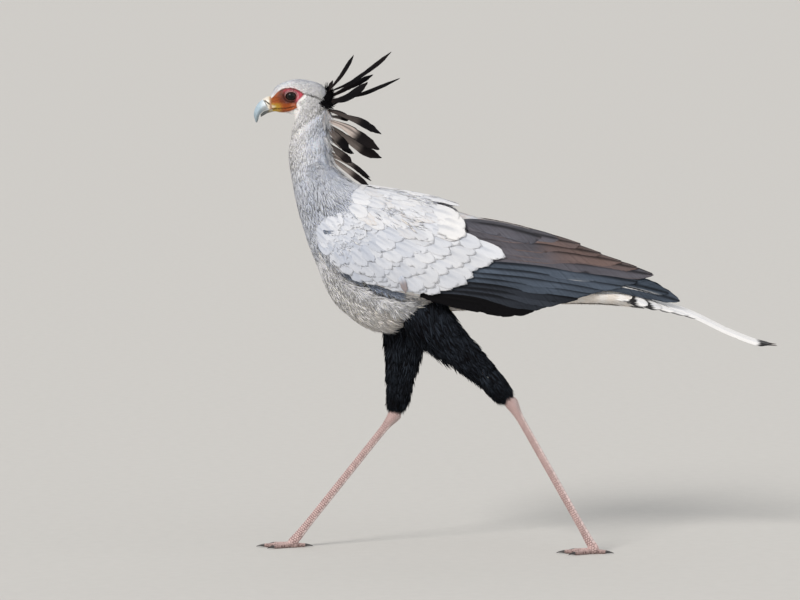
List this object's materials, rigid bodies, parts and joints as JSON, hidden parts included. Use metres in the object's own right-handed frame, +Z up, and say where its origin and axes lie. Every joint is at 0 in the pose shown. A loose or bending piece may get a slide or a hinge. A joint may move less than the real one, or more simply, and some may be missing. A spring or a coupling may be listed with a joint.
{
  "type": "secretary bird",
  "caption": "Long-legged crested bird of prey in mid-stride, a still life-size model with folded wings and long central tail feathers.",
  "frame": {"origin": "on the floor, under the middle of the bird's bounding box", "axes": "+X from the bill toward the tail, the bird's left side is -Y, +Z up"},
  "size_m": [1.0047, 0.2074, 0.9629],
  "materials": {
    "head_feathers_and_face": "soft pale grey feathers, bare orange and red skin round the eye",
    "grey_feathers": "soft pale blue-grey feathers",
    "wing_feathers": "pale grey coverts over black flight feathers",
    "black_feathers": "soft black feathers",
    "tail_feathers": "white and grey feathers with black bands",
    "leg_skin": "pinkish scaled skin",
    "bill_horn": "smooth blue-grey horn, greenish at the base",
    "eye": "wet dark brown",
    "claw_horn": "smooth dark horn"
  },
  "bodies": {
    "root": {"head": "head_feathers_and_face", "neck": "grey_feathers", "torso": "grey_feathers", "wing_left": "wing_feathers", "wing_right": "wing_feathers", "tail": "tail_feathers", "thigh_left": "black_feathers", "thigh_right": "black_feathers", "tarsus_left": "leg_skin", "tarsus_right": "leg_skin", "foot_left": "leg_skin", "foot_right": "leg_skin", "bill_upper": "bill_horn", "bill_lower": "bill_horn", "eye_left": "eye", "eye_right": "eye", "claw_left_1": "claw_horn", "claw_left_2": "claw_horn", "claw_left_3": "claw_horn", "claw_left_4": "claw_horn", "claw_right_1": "claw_horn", "claw_right_2": "claw_horn", "claw_right_3": "claw_horn", "claw_right_4": "claw_horn"}
  },
  "joints": []
}
